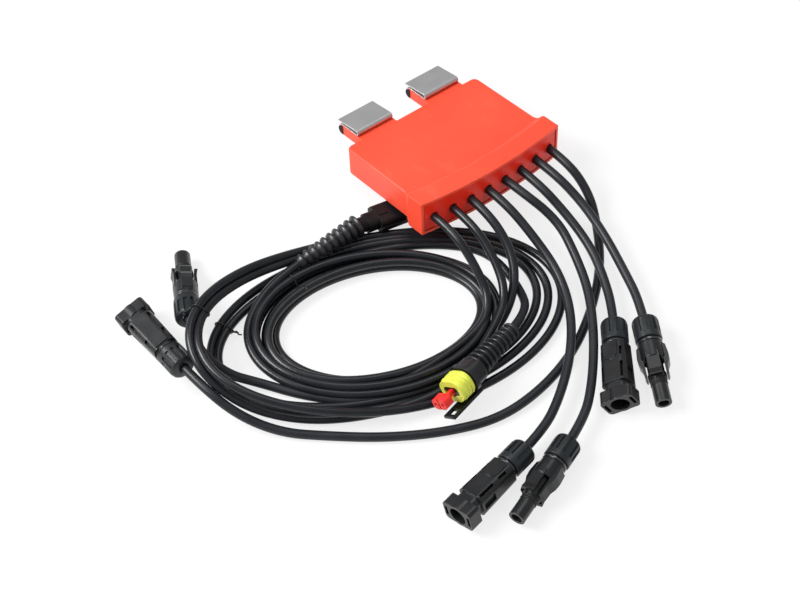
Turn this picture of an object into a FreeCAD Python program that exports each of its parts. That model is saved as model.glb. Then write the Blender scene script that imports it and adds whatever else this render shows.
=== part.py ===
import FreeCAD, Part
import math
import os

os.makedirs("parts", exist_ok=True)

V = FreeCAD.Vector

# Moulded case, millimetres. X runs along the cable face, the cable face looks to -Y, Z is up.
BODY_WIDTH = 130.0
BODY_HEIGHT = 22.6
CASE_DEPTH = 91.0
FLANGE_PROUD = 3.0
FLANGE_RISE = 3.4
FLANGE_DROP = 3.0
FLANGE_LENGTH = 15.0
RAMP_LENGTH = 6.0
FRONT_BOW = 6.0
WALL = 2.4
REAR_CORNER_RADIUS = 5.0
RIM_WIDTH = 2.2
PLATE_RECESS = 0.6
PLATE_SEAT_Y = -40.5

# Way the case leans: front edge up, left side up, propped on the coil.
FRONT_UP = 9.0
LEFT_UP = 5.0

# Rear tabs and the folded sheet clips on them.
TAB_OFFSET = 33.5
TAB_WIDTH = 35.0
TAB_THICKNESS = 7.8
TAB_LENGTH = 26.0
CLIP_WIDTH = 34.0
CLIP_SHEET = 1.0
CLIP_FOLD_RADIUS = 1.9
CLIP_TOP_LENGTH = 22.0

# Cables.
POWER_CABLE = 6.8
SIGNAL_CABLE = 6.4
HOLE_PITCH = 16.4
HOLE_HEIGHT = 10.8
CABLE_END_Y = -33.0
HOLE_GAP = 0.1

# Single pole connectors.
NUT_START = 3.2
NUT_LENGTH = 18.6
NUT_RADIUS = 9.7
NUT_END_WALL = 2.6
NUT_RIBS = 12
TAIL_RADIUS = 7.6
RUNNING_FIT = 0.06
CABLE_DEPTH = 14.0
SHOULDER_LENGTH = 3.0
CONNECTOR_LENGTH = 73.0
FLANGE_THICK = 9.5
NECK_LENGTH = 5.0
SOCKET_RADIUS = 6.7
SOCKET_DEPTH = 27.0
PLUG_TUBE_RADIUS = 5.9
PLUG_CUP_LENGTH = 13.8
PRONG_REACH = 15.0
PRONG_WIDTH = 9.2
PIN_RADIUS = 2.0

# Coil of the two signal cords.
COIL_LEAN = 23.0
COIL_HEIGHT = 13.0
COIL_RIGHT_HEIGHT = 6.8
COIL_LEFT_HEIGHT = 34.0

half_body = BODY_WIDTH / 2
half_flange = half_body + FLANGE_PROUD
arc_radius = (half_flange ** 2 + FRONT_BOW ** 2) / (2 * FRONT_BOW)
front_y = -CASE_DEPTH / 2
arc_y = front_y - FRONT_BOW + arc_radius
rear_y = CASE_DEPTH / 2
flange_top = BODY_HEIGHT + FLANGE_RISE
flange_low = -FLANGE_DROP


def lean(shape):
    shape.rotate(V(0, 0, 0), V(1, 0, 0), -FRONT_UP)
    shape.rotate(V(0, 0, 0), V(0, 1, 0), LEFT_UP)
    return shape


def lean_point(x, y, z):
    turn = FreeCAD.Rotation(V(0, 1, 0), LEFT_UP).multiply(FreeCAD.Rotation(V(1, 0, 0), -FRONT_UP))
    return turn.multVec(V(x, y, z))


# The floor is where the rounded rear right bottom corner of the leaning case comes to rest.
corner_centre = lean_point(BODY_WIDTH / 2 - REAR_CORNER_RADIUS, rear_y - REAR_CORNER_RADIUS, 0)
fall = math.hypot(lean_point(1, 0, 0).z, lean_point(0, 1, 0).z)
FLOOR = corner_centre.z - REAR_CORNER_RADIUS * fall


def up(x, y, height):
    return V(x, y, FLOOR + height)


def box(x0, x1, y0, y1, z0, z1):
    return Part.makeBox(x1 - x0, y1 - y0, z1 - z0, V(x0, y0, z0))


def rod(radius, x0, x1, y=0.0, z=0.0):
    return Part.makeCylinder(radius, x1 - x0, V(x0, y, z), V(1, 0, 0))


def rounded_bar(x0, x1, wide, tall, radius, y=0.0, z=0.0):
    """Bar along X with a rounded rectangle for its section."""
    bar = box(x0, x1, y - wide / 2, y + wide / 2, z - tall / 2, z + tall / 2)
    edges = [e for e in bar.Edges if abs(e.Vertexes[0].X - e.Vertexes[1].X) > 0.5 * (x1 - x0)]
    return bar.makeFillet(radius, edges)


def turned(profile):
    """Solid of revolution about X from a list of (x, radius) points."""
    pts = [V(x, 0, r) for x, r in profile]
    pts.append(pts[0])
    return Part.Face(Part.makePolygon(pts)).revolve(V(0, 0, 0), V(1, 0, 0), 360)


def place(shape, pose):
    point, heading, pitch, roll = pose
    shape.rotate(V(0, 0, 0), V(1, 0, 0), roll)
    shape.rotate(V(0, 0, 0), V(0, 1, 0), -pitch)
    shape.rotate(V(0, 0, 0), V(0, 0, 1), heading)
    shape.translate(point)
    return shape


def along(pose, x):
    point, heading, pitch, roll = pose
    a = math.radians(heading)
    b = math.radians(pitch)
    way = V(math.cos(a) * math.cos(b), math.sin(a) * math.cos(b), math.sin(b))
    return point + way * x


def tube(name, points, diameter):
    """Straight runs joined by tangent arcs, swept with a round section."""
    edges = []
    start = points[0]
    tight = 1e9
    length = 0.0
    for i in range(1, len(points) - 1):
        a = points[i - 1] - points[i]
        b = points[i + 1] - points[i]
        turn = math.pi - a.getAngle(b)
        run = min(a.Length, b.Length)
        radius = 0.45 * run / math.tan(turn / 2)
        tight = min(tight, radius)
        cut = 0.45 * run
        ua = a.normalize()
        ub = b.normalize()
        p = points[i] + ua * cut
        q = points[i] + ub * cut
        mid_way = (ua + ub).normalize()
        mid = points[i] + mid_way * (radius / math.cos(turn / 2) - radius)
        edges.append(Part.LineSegment(start, p).toShape())
        edges.append(Part.Arc(p, mid, q).toShape())
        start = q
    edges.append(Part.LineSegment(start, points[-1]).toShape())
    path = Part.Wire(edges)
    first = (points[1] - points[0]).normalize()
    ring = Part.Wire([Part.makeCircle(diameter / 2, points[0], first)])
    solid = path.makePipeShell([ring], True, False)
    length = path.Length
    full = math.pi * diameter ** 2 / 4 * length
    print(name, "length", round(length, 1), "tightest radius", round(tight, 1),
          "volume ratio", round(solid.Volume / full, 4), solid.isValid())
    return solid


def save(shape, name):
    if shape.ShapeType == "Compound" and len(shape.Solids) == 1:
        shape = shape.Solids[0]
    if not shape.isValid() or len(shape.Solids) != 1:
        print("look at", name, "valid", shape.isValid(), "solids", len(shape.Solids))
    shape.exportStep("parts/" + name + ".step")


# Case shell: plan outline with a bowed front, stepped down behind the flange.
apex = V(0, front_y - FRONT_BOW, flange_low)
fl = V(-half_flange, front_y, flange_low)
fr = V(half_flange, front_y, flange_low)
side_y = front_y + FLANGE_LENGTH
body_y = side_y + RAMP_LENGTH
corner = REAR_CORNER_RADIUS
k = corner * (1 - math.sqrt(0.5))
outline = [
    Part.Arc(fl, apex, fr).toShape(),
    Part.LineSegment(fr, V(half_flange, side_y, flange_low)).toShape(),
    Part.LineSegment(V(half_flange, side_y, flange_low), V(half_body, body_y, flange_low)).toShape(),
    Part.LineSegment(V(half_body, body_y, flange_low), V(half_body, rear_y - corner, flange_low)).toShape(),
    Part.Arc(V(half_body, rear_y - corner, flange_low), V(half_body - k, rear_y - k, flange_low),
             V(half_body - corner, rear_y, flange_low)).toShape(),
    Part.LineSegment(V(half_body - corner, rear_y, flange_low),
                     V(-half_body + corner, rear_y, flange_low)).toShape(),
    Part.Arc(V(-half_body + corner, rear_y, flange_low), V(-half_body + k, rear_y - k, flange_low),
             V(-half_body, rear_y - corner, flange_low)).toShape(),
    Part.LineSegment(V(-half_body, rear_y - corner, flange_low), V(-half_body, body_y, flange_low)).toShape(),
    Part.LineSegment(V(-half_body, body_y, flange_low), V(-half_flange, side_y, flange_low)).toShape(),
    Part.LineSegment(V(-half_flange, side_y, flange_low), fl).toShape(),
]
case = Part.Face(Part.Wire(outline)).extrude(V(0, 0, flange_top - flange_low))


def step_cutter(z_flange, z_body, z_far):
    """Ring shaped cutter, turned about the centre of the bowed front."""
    y0 = arc_y - arc_radius + FLANGE_LENGTH
    y1 = y0 + RAMP_LENGTH
    ym = (y0 + y1) / 2
    zm = (z_flange + z_body) / 2
    quarter = (z_flange - z_body) / 8
    a = V(0, y0, z_flange)
    m = V(0, ym, zm)
    b = V(0, y1, z_body)
    far = y1 + CASE_DEPTH + 20
    edges = [
        Part.Arc(a, V(0, (y0 + ym) / 2, (z_flange + zm) / 2 + quarter), m).toShape(),
        Part.Arc(m, V(0, (ym + y1) / 2, (zm + z_body) / 2 - quarter), b).toShape(),
        Part.LineSegment(b, V(0, far, z_body)).toShape(),
        Part.LineSegment(V(0, far, z_body), V(0, far, z_far)).toShape(),
        Part.LineSegment(V(0, far, z_far), V(0, y0, z_far)).toShape(),
        Part.LineSegment(V(0, y0, z_far), a).toShape(),
    ]
    face = Part.Face(Part.Wire(edges))
    face.rotate(V(0, arc_y, 0), V(0, 0, 1), -16)
    return face.revolve(V(0, arc_y, 0), V(0, 0, 1), 32)


case = case.cut(step_cutter(flange_top, BODY_HEIGHT, flange_top + 10))
case = case.cut(step_cutter(flange_low, 0.0, flange_low - 10))


def top_side_edge(edge):
    a = edge.Vertexes[0].Point
    b = edge.Vertexes[-1].Point
    level = abs(a.z - BODY_HEIGHT) < 0.01 and abs(b.z - BODY_HEIGHT) < 0.01
    side = abs(abs(a.x) - half_body) < 0.01 and abs(abs(b.x) - half_body) < 0.01
    return level and side and a.x * b.x > 0 and abs(a.y - b.y) > 20


case = case.makeFillet(1.6, [e for e in case.Edges if top_side_edge(e)])

cavity = box(-half_body + WALL, half_body - WALL, PLATE_SEAT_Y, rear_y - WALL, WALL, BODY_HEIGHT - WALL)
seat_wide = half_flange - RIM_WIDTH
seat_low = flange_low + RIM_WIDTH
seat_top = flange_top - RIM_WIDTH
seat = box(-seat_wide, seat_wide, front_y - FRONT_BOW - 5, PLATE_SEAT_Y, seat_low, seat_top)
case = case.cut(cavity).cut(seat)

tab_top = BODY_HEIGHT
tab_low = BODY_HEIGHT - TAB_THICKNESS
tab_end = rear_y + TAB_LENGTH
tab_half = TAB_THICKNESS / 2
for side in (-1, 1):
    x = side * TAB_OFFSET
    tab = box(x - TAB_WIDTH / 2, x + TAB_WIDTH / 2, rear_y - 1.2, tab_end - tab_half, tab_low, tab_top)
    nose = Part.makeCylinder(tab_half, TAB_WIDTH, V(x - TAB_WIDTH / 2, tab_end - tab_half, tab_top - tab_half),
                             V(1, 0, 0))
    case = case.fuse(tab.fuse(nose))
case = case.removeSplitter()
save(lean(case), "case_shell")

# End plate with the eight cable holes, each inside a thin raised rim.
plate = seat.common(Part.makeCylinder(arc_radius - PLATE_RECESS, 60, V(0, arc_y, -20)))
holes = [(i - 3.5) * HOLE_PITCH for i in range(8)]
sizes = [SIGNAL_CABLE, SIGNAL_CABLE] + [POWER_CABLE] * 6
for x, size in zip(holes, sizes):
    out = V(x, -math.sqrt(arc_radius ** 2 - x ** 2), 0).normalize()
    spot = V(0, arc_y, HOLE_HEIGHT) + out * (arc_radius - PLATE_RECESS - 2)
    plate = plate.fuse(Part.makeCylinder(size / 2 + 1.1, 2.5, spot, out))
for x, size in zip(holes, sizes):
    plate = plate.cut(Part.makeCylinder(size / 2 + HOLE_GAP, 40, V(x, -70, HOLE_HEIGHT), V(0, 1, 0)))
save(lean(plate), "end_plate")

# Electronics set in potting, laid out from the middle of the case.
BOARD_Z = 6.0
BOARD_MARGIN = 9.0
board_half = half_body - BOARD_MARGIN
board = box(-board_half, board_half, -22, 38, BOARD_Z, BOARD_Z + 1.6)
board_top = BOARD_Z + 1.6
switch_pitch = board_half * 0.4
switches = box(-board_half + 6, 0.9 * switch_pitch, 30, 32, board_top, board_top + 4.4)
diodes = box(-14, 42, -4, -2, board_top, board_top + 3.2)
for i in range(4):
    x = -board_half + 6 + switch_pitch * i
    switches = switches.fuse(box(x, x + 10, 20, 30, board_top, board_top + 4.4))
    diodes = diodes.fuse(box(-14 + 16 * i, -6 + 16 * i, -16, -4, board_top, board_top + 3.2))
cans = Part.makeCylinder(5, 9, V(-30, 4, board_top)).fuse(Part.makeCylinder(5, 9, V(-21, 4, board_top)))
choke_at = V(board_half - 16, 8.6, board_top)
choke = Part.makeCylinder(9, 8, choke_at).cut(Part.makeCylinder(4, 8, choke_at))
potting = cavity.cut(board).cut(switches).cut(diodes).cut(cans).cut(choke)
for x, size in zip(holes, sizes):
    potting = potting.cut(Part.makeCylinder(size / 2, 40, V(x, CABLE_END_Y - 40, HOLE_HEIGHT), V(0, 1, 0)))
save(lean(potting), "potting")
save(lean(board), "circuit_board")
save(lean(switches.removeSplitter()), "switch_transistors")
save(lean(diodes.removeSplitter()), "bypass_diodes")
save(lean(cans), "capacitors")
save(lean(choke), "coupling_coil")


# Folded sheet clips: lower leg on the tab and round its end, top plate folded back over it.
def plate_strip(x0, x1, a, b, sheet):
    """Flat run of sheet between two points of the Y Z plane."""
    way = (V(0, b[0], b[1]) - V(0, a[0], a[1])).normalize()
    side = V(0, -way.z, way.y) * (sheet / 2)
    pa = V(x0, a[0], a[1])
    pb = V(x0, b[0], b[1])
    loop = Part.makePolygon([pa + side, pb + side, pb - side, pa - side, pa + side])
    return Part.Face(loop).extrude(V(x1 - x0, 0, 0))


leg_z = tab_top + CLIP_SHEET / 2
fold_y = rear_y + 5.6
wrap_radius = tab_half + CLIP_SHEET / 2
wrap_c = (tab_end - tab_half, tab_top - tab_half)
fold_c = (fold_y, leg_z + CLIP_FOLD_RADIUS)
drop = math.radians(5)
top_a = (fold_y + CLIP_FOLD_RADIUS * math.sin(drop), fold_c[1] + CLIP_FOLD_RADIUS * math.cos(drop))
top_b = (top_a[0] + CLIP_TOP_LENGTH * math.cos(drop), top_a[1] - CLIP_TOP_LENGTH * math.sin(drop))
for side, name in ((-1, "frame_clip_left"), (1, "frame_clip_right")):
    x0 = side * TAB_OFFSET - CLIP_WIDTH / 2
    x1 = x0 + CLIP_WIDTH
    clip = plate_strip(x0, x1, (tab_end - 16, tab_low - CLIP_SHEET / 2), (wrap_c[0], tab_low - CLIP_SHEET / 2),
                       CLIP_SHEET)
    half = Part.makeCylinder(wrap_radius + CLIP_SHEET / 2, CLIP_WIDTH, V(x0, wrap_c[0], wrap_c[1]), V(1, 0, 0))
    half = half.cut(Part.makeCylinder(wrap_radius - CLIP_SHEET / 2, CLIP_WIDTH, V(x0, wrap_c[0], wrap_c[1]),
                                      V(1, 0, 0)))
    half = half.common(box(x0, x1, wrap_c[0], wrap_c[0] + 10, wrap_c[1] - 10, wrap_c[1] + 10))
    fold = Part.makeCylinder(CLIP_FOLD_RADIUS + CLIP_SHEET / 2, CLIP_WIDTH, V(x0, fold_c[0], fold_c[1]),
                             V(1, 0, 0))
    fold = fold.cut(Part.makeCylinder(CLIP_FOLD_RADIUS - CLIP_SHEET / 2, CLIP_WIDTH,
                                      V(x0, fold_c[0], fold_c[1]), V(1, 0, 0)))
    mask = box(x0, x1, fold_y - 6, fold_y + 0.05, fold_c[1] - 6, fold_c[1] + 6)
    mask = mask.fuse(box(x0, x1, fold_y, top_a[0] + 0.05, fold_c[1], fold_c[1] + 6))
    fold = fold.common(mask)
    clip = clip.fuse(half)
    clip = clip.fuse(plate_strip(x0, x1, (wrap_c[0], leg_z), (fold_y, leg_z), CLIP_SHEET))
    clip = clip.fuse(fold)
    clip = clip.fuse(plate_strip(x0, x1, top_a, top_b, CLIP_SHEET))
    save(lean(clip.removeSplitter()), name)


# Single pole connectors. Local X runs from the cable end to the mating end.
nut_end = NUT_START + NUT_LENGTH
tail_start = NUT_START + NUT_END_WALL + 0.3
body_start = nut_end + SHOULDER_LENGTH
flange_start = CONNECTOR_LENGTH - FLANGE_THICK
neck_start = flange_start - NECK_LENGTH
cup_end = body_start + PLUG_CUP_LENGTH
prong_end = cup_end + PRONG_REACH
socket_start = CONNECTOR_LENGTH - SOCKET_DEPTH
ring_groove = CONNECTOR_LENGTH - 14


def nut_shape(cable):
    bore = cable / 2 + 0.35
    thread = TAIL_RADIUS + RUNNING_FIT
    wall = NUT_START + NUT_END_WALL
    nut = turned([(NUT_START, bore), (NUT_START, NUT_RADIUS - 2.3), (NUT_START + 0.5, NUT_RADIUS - 1.3),
                  (NUT_START + 1.6, NUT_RADIUS - 0.4), (NUT_START + 3.4, NUT_RADIUS), (nut_end - 0.5, NUT_RADIUS),
                  (nut_end, NUT_RADIUS - 0.5), (nut_end, thread), (wall, thread), (wall, bore)])
    for i in range(NUT_RIBS):
        groove = box(NUT_START + 1.6, nut_end - 4.6, -1.1, 1.1, NUT_RADIUS - 0.65, NUT_RADIUS + 2)
        groove.rotate(V(0, 0, 0), V(1, 0, 0), (i + 0.5) * 360.0 / NUT_RIBS)
        nut = nut.cut(groove)
    return nut


def gland_shape(cable):
    return turned([(tail_start, cable / 2), (CABLE_DEPTH, cable / 2), (CABLE_DEPTH, 5.2), (tail_start, 5.2)])


def tail_shape():
    """Threaded tail under the nut, with the bright shoulder ring in front of it."""
    ring_start = nut_end + 0.8
    return turned([(tail_start, 5.2), (tail_start, TAIL_RADIUS), (ring_start, TAIL_RADIUS), (ring_start, 8.6),
                   (ring_start + 0.5, 9.0), (body_start, 9.0), (body_start, 2.6), (CABLE_DEPTH, 2.6),
                   (CABLE_DEPTH, 5.2)])


def bar_face(x, wide, tall, radius):
    """Outline of a rounded rectangle that stands across the X axis."""
    bar = rounded_bar(x - 1, x, wide, tall, radius)
    return [f for f in bar.Faces if abs(f.CenterOfMass.x - x) < 0.001][0].OuterWire


def female_body():
    half_tall = 9.2
    body = Part.makeLoft([bar_face(body_start, 18.8, 17.4, 5.0), bar_face(neck_start, 20.4, 2 * half_tall, 5.0)],
                         True, True)
    body = body.fuse(rounded_bar(neck_start - 0.5, flange_start + 0.5, 17.4, 15.8, 5.0))
    body = body.fuse(rounded_bar(flange_start, CONNECTOR_LENGTH, 24.5, 16.4, 3.2))
    body = body.fuse(rod(8.8, flange_start, CONNECTOR_LENGTH))
    tongue = box(body_start + 1, body_start + 10, -5.4, 5.4, 0, half_tall + 0.5)
    tongue = tongue.fuse(Part.makeCylinder(5.4, half_tall + 0.5, V(body_start + 10, 0, 0)))
    body = body.fuse(tongue)
    for side in (-1, 1):
        for x0, x1 in ((body_start + 6, body_start + 13), (neck_start - 15, neck_start - 2)):
            body = body.cut(box(x0, x1, side * 7.5 - 0.9, side * 7.5 + 0.9, 5.4, 12))
        body = body.cut(box(neck_start - 13, neck_start - 2, side * 10 - 1.8, side * 10 + 1.8, -3.2, 3.2))
        body = body.cut(box(neck_start, CONNECTOR_LENGTH + 2, side * 9.9 - 1.2, side * 9.9 + 1.2, -4.4, 4.4))
    body = body.cut(rod(2.6, 20, CABLE_DEPTH + 16)).cut(rod(PIN_RADIUS, 29, 60))
    body = body.cut(rod(SOCKET_RADIUS, socket_start, CONNECTOR_LENGTH + 2))
    return body.fuse(tail_shape())


def male_body():
    body = turned([(body_start, 0), (body_start, 8.5), (body_start + 0.8, 8.9), (cup_end - 0.5, 9.2),
                   (cup_end, 8.7), (cup_end, 7.9), (cup_end - 2, 7.9), (cup_end - 2, 0)])
    body = body.fuse(rod(PLUG_TUBE_RADIUS, body_start, CONNECTOR_LENGTH))
    body = body.fuse(rod(6.7, ring_groove - 9, ring_groove - 5))
    for side in (-1, 1):
        a = side * 7.0
        b = side * 8.4
        tip = side * 9.4
        prong = Part.makePolygon([V(cup_end - 4, a, 0), V(prong_end, a, 0), V(prong_end, tip, 0),
                                  V(prong_end - 1, tip, 0), V(prong_end - 5, b, 0), V(cup_end - 4, b, 0),
                                  V(cup_end - 4, a, 0)])
        prong = Part.Face(prong).extrude(V(0, 0, PRONG_WIDTH))
        prong.translate(V(0, 0, -PRONG_WIDTH / 2))
        a = side * 6.9
        guard = Part.makePolygon([V(body_start + 2, 0, side * 8.2), V(body_start + 4, 0, side * 10.3),
                                  V(cup_end - 2, 0, side * 11.2), V(cup_end + 3, 0, side * 10.6),
                                  V(cup_end + 7, 0, side * 8.8), V(prong_end - 2, 0, side * 8.6),
                                  V(prong_end, 0, side * 7.8), V(prong_end, 0, a), V(cup_end - 4, 0, a),
                                  V(body_start + 2, 0, side * 8.2)])
        guard = Part.Face(guard).extrude(V(0, 8.0, 0))
        guard.translate(V(0, -4.0, 0))
        body = body.fuse(prong).fuse(guard)
    groove = rod(PLUG_TUBE_RADIUS + 0.2, ring_groove - 4, ring_groove).cut(rod(5.3, ring_groove - 4, ring_groove))
    body = body.cut(groove)
    body = body.cut(rod(2.6, 20, CONNECTOR_LENGTH + 2)).cut(rod(3.9, CONNECTOR_LENGTH - 7, CONNECTOR_LENGTH + 2))
    return body.fuse(tail_shape())


def female_contact():
    tip = 66.6
    shank = rod(2.6, CABLE_DEPTH, CABLE_DEPTH + 16).fuse(rod(PIN_RADIUS, CABLE_DEPTH + 16, tip - 1.6))
    return shank.fuse(turned([(tip - 1.6, 0), (tip - 1.6, PIN_RADIUS), (tip, 1.0), (tip, 0)]))


def male_contact():
    return rod(2.6, CABLE_DEPTH, CONNECTOR_LENGTH - 3).cut(rod(1.7, 44, CONNECTOR_LENGTH + 2))


POSES = {
    "out_1": (up(-243.3, 0.5, 22.2), 60.0, -12.8, 12.0),
    "out_2": (up(-267.5, -30.8, 21.3), 89.0, -8.8, -12.0),
    "in_1": (up(-121.0, -221.0, 10.3), -172.0, 0.6, 18.0),
    "in_2": (up(-94.5, -235.6, 10.7), -163.1, 0.0, -62.0),
    "in_3": (up(-4.5, -182.8, 10.3), -130.5, 1.9, 36.0),
    "in_4": (up(13.2, -195.0, 10.7), -123.5, 0.0, -75.0),
}
FEMALE = ("out_2", "in_1", "in_3")

# Middle points of each power cable, laid over the floor: x, y and height above the floor.
ROUTES = {
    "out_1": [(-24, -95, 20), (-38, -116, 10), (-63, -131, 3.6), (-95, -137, 3.4), (-130, -138, 3.4),
              (-163, -130, 3.4), (-192, -112, 3.4), (-213, -87, 3.4), (-229, -62, 4.5), (-246, -44, 12)],
    "out_2": [(60, -90, 13), (47, -114, 3.6), (25, -140, 3.4), (-5, -163, 3.4), (-41, -182, 3.4), (-80, -191, 3.4),
              (-120, -190, 3.4), (-158, -172.5, 3.4), (-191, -150, 3.4), (-219, -125, 3.4),
              (-242, -103, 4), (-259, -77, 12)],
    "in_1": [(-4, -98, 20), (-8, -130, 12.2), (-24, -160, 11), (-49, -186, 11), (-78, -206, 10.6)],
    "in_2": [(20, -97, 20), (12, -126, 12.6), (-2, -155, 11.4), (-25, -184.5, 10.8), (-54, -213, 10.6)],
    "in_3": [(29.5, -98, 18.5), (26, -127, 12.5), (16, -150.5, 11.2)],
    "in_4": [(46, -95, 19.5), (41, -127, 13), (31, -156, 11.4)],
}
HOLE_OF = {"out_1": 2, "in_1": 3, "in_2": 4, "in_3": 5, "in_4": 6, "out_2": 7}
BEHIND = {"out_1": 20.0, "out_2": 17.0, "in_1": 16.0, "in_2": 16.0, "in_3": 11.0, "in_4": 13.0}

for name, pose in POSES.items():
    cable = POWER_CABLE
    x = holes[HOLE_OF[name]]
    points = [lean_point(x, CABLE_END_Y, HOLE_HEIGHT), lean_point(x, CABLE_END_Y - 33, HOLE_HEIGHT)]
    points += [up(*p) for p in ROUTES[name]]
    points += [along(pose, -BEHIND[name]), along(pose, CABLE_DEPTH)]
    save(tube(name, points, cable), name + "_cable")
    if name in FEMALE:
        body, contact = female_body(), female_contact()
    else:
        body, contact = male_body(), male_contact()
    save(place(body, pose), name + "_body")
    save(place(contact, pose), name + "_contact")
    save(place(nut_shape(cable), pose), name + "_nut")
    save(place(gland_shape(cable), pose), name + "_gland")


# Coil of the signal cords: two flat rings, the outer one rising to the left over the connectors.
def oval(cx, cy, a, b, height):
    points = []
    for i in range(24):
        t = math.radians(i * 15)
        points.append(up(cx + a * math.cos(t), cy + b * math.sin(t - math.radians(COIL_LEAN)), height))
    curve = Part.BSplineCurve()
    curve.interpolate(Points=points, PeriodicFlag=True)
    return Part.Wire([curve.toShape()])


def ring(outer, inner, height):
    big = Part.Face(oval(outer[0], outer[1], outer[2], outer[3], 0)).extrude(V(0, 0, height))
    small = Part.Face(oval(inner[0], inner[1], inner[2], inner[3], -1)).extrude(V(0, 0, height + 2))
    return big.cut(small)


coil_inner = ring((-132, -77, 84, 65), (-132, -77, 69, 51), COIL_HEIGHT)
coil_outer = ring((-137, -67, 130, 97), (-133, -77, 85.5, 66.5), COIL_LEFT_HEIGHT)
wedge = Part.makePolygon([up(-300, -300, COIL_LEFT_HEIGHT), up(-262, -300, COIL_LEFT_HEIGHT),
                          up(-175, -300, COIL_RIGHT_HEIGHT + 1), up(-100, -300, COIL_RIGHT_HEIGHT),
                          up(60, -300, COIL_RIGHT_HEIGHT), up(60, -300, 60), up(-300, -300, 60),
                          up(-300, -300, COIL_LEFT_HEIGHT)])
coil_outer = coil_outer.cut(Part.Face(wedge).extrude(V(0, 400, 0)))

# Two way connectors on the signal cords. Local X runs from the boot's small end to the mating end.
BOOT_RINGS = 10
BORE_DEPTH_A = 14.0
BORE_DEPTH_B = 11.5
PLUG_POSE = (up(-66.5, -145.2, 14.5), -168.5, 3.5, 38.0)
BOOT_A_POSE = (up(-149.0, -1.6, 12.0), -1.4, 1.8, 0.0)
CAP_POSE = (up(-96.0, -3.0, 13.4), -9.0, -7.0, 0.0)


def boot_shape(length, small, large, bore, depth, rings):
    """Ribbed rubber boot on the cable end, its rings growing towards the connector."""
    step = length / rings
    pts = [(depth, 0), (depth, bore), (0, bore)]
    for i in range(rings):
        r = small + (large - small) * (i + 1) / rings
        x = i * step
        pts += [(x, r - 1.7), (x + 0.30 * step, r - 1.5), (x + 0.62 * step, r), (x + 0.86 * step, r),
                (x + 0.94 * step, r - 1.2)]
    pts += [(length, large - 1.7), (length, 0)]
    return turned(pts)


plug_body = rod(6.0, 38, 48).fuse(rounded_bar(46, 56, 21.0, 18.0, 7.0)).fuse(rounded_bar(55, 58.5, 24.5, 21.0, 9.0))
plug_body = plug_body.fuse(rounded_bar(58, 71, 14.0, 8.0, 3.0))
plug_body = plug_body.cut(rod(1.3, 50, 62, -3.5)).cut(rod(1.3, 50, 62, 3.5))
plug_body = plug_body.cut(box(62, 75, -1.9, 1.9, -1.9, 1.9))
arm = box(52, 84, -5.4, 5.4, -14.2, -12.0).fuse(box(52, 57, -4.0, 4.0, -12.5, -8.0))
arm = arm.cut(box(76, 81.5, -3.2, 3.2, -16, -10))
plug_body = plug_body.fuse(arm)
plug_seal = rounded_bar(59.5, 72, 21.0, 17.6, 7.5)
for x in (61.0, 64.4, 67.8):
    plug_seal = plug_seal.fuse(rounded_bar(x, x + 1.5, 22.4, 19.0, 8.2))
plug_seal = plug_seal.cut(rounded_bar(58, 74, 14.0, 8.0, 3.0))
plug_terminals = rod(1.3, 50, 62, -3.5).fuse(rod(1.3, 50, 62, 3.5))
plug_terminals = plug_terminals.fuse(box(50, 51.5, -4, 4, -1, 1))
plug_body = plug_body.cut(box(50, 51.5, -4, 4, -1, 1))
plug_lock = box(64.5, 80, -1.8, 1.8, -1.8, 1.8).fuse(rounded_bar(78.5, 86, 13.0, 8.6, 3.2))
for y in (-3.6, 3.6):
    plug_lock = plug_lock.cut(box(83.5, 88, y - 1.1, y + 1.1, -1.1, 1.1))
plug_lock = plug_lock.cut(box(85.2, 88, -0.6, 0.6, -6, 6))
boot_b = boot_shape(46, 6.2, 9.6, SIGNAL_CABLE / 2, BORE_DEPTH_B, BOOT_RINGS).cut(rod(6.0, 38, 50))

cap_body = rod(6.0, 0, 9).fuse(rounded_bar(8, 18, 14.0, 11.6, 4.0)).fuse(rounded_bar(17, 44, 20.0, 12.4, 3.0))
cap_body = cap_body.fuse(box(17, 38, -11.4, -9.0, -1.6, 1.6)).fuse(box(17, 38, 9.0, 11.4, -1.6, 1.6))
cap_body = cap_body.cut(rounded_bar(28, 46, 16.0, 8.4, 2.5))
cap_body = cap_body.cut(rod(1.3, 14, 29, -3.5)).cut(rod(1.3, 14, 29, 3.5))
cap_pins = rod(1.3, 14, 38, -3.5).fuse(rod(1.3, 14, 38, 3.5)).fuse(box(14, 15.5, -4, 4, -1, 1))
cap_body = cap_body.cut(box(14, 15.5, -4, 4, -1, 1))
cap_body = cap_body.cut(box(19, 26, -2.0, 2.0, 2.4, 8.0))
cap_lock = box(19.1, 25.9, -1.9, 1.9, 2.4, 6.7)
cap_body = place(cap_body, CAP_POSE)
boot_a = place(boot_shape(56, 5.6, 8.8, SIGNAL_CABLE / 2, BORE_DEPTH_A, BOOT_RINGS), BOOT_A_POSE)
boot_a = boot_a.cut(place(rod(6.0, 0, 20), CAP_POSE))
plug_body = place(plug_body, PLUG_POSE)
boot_b = place(boot_b, PLUG_POSE)

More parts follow.
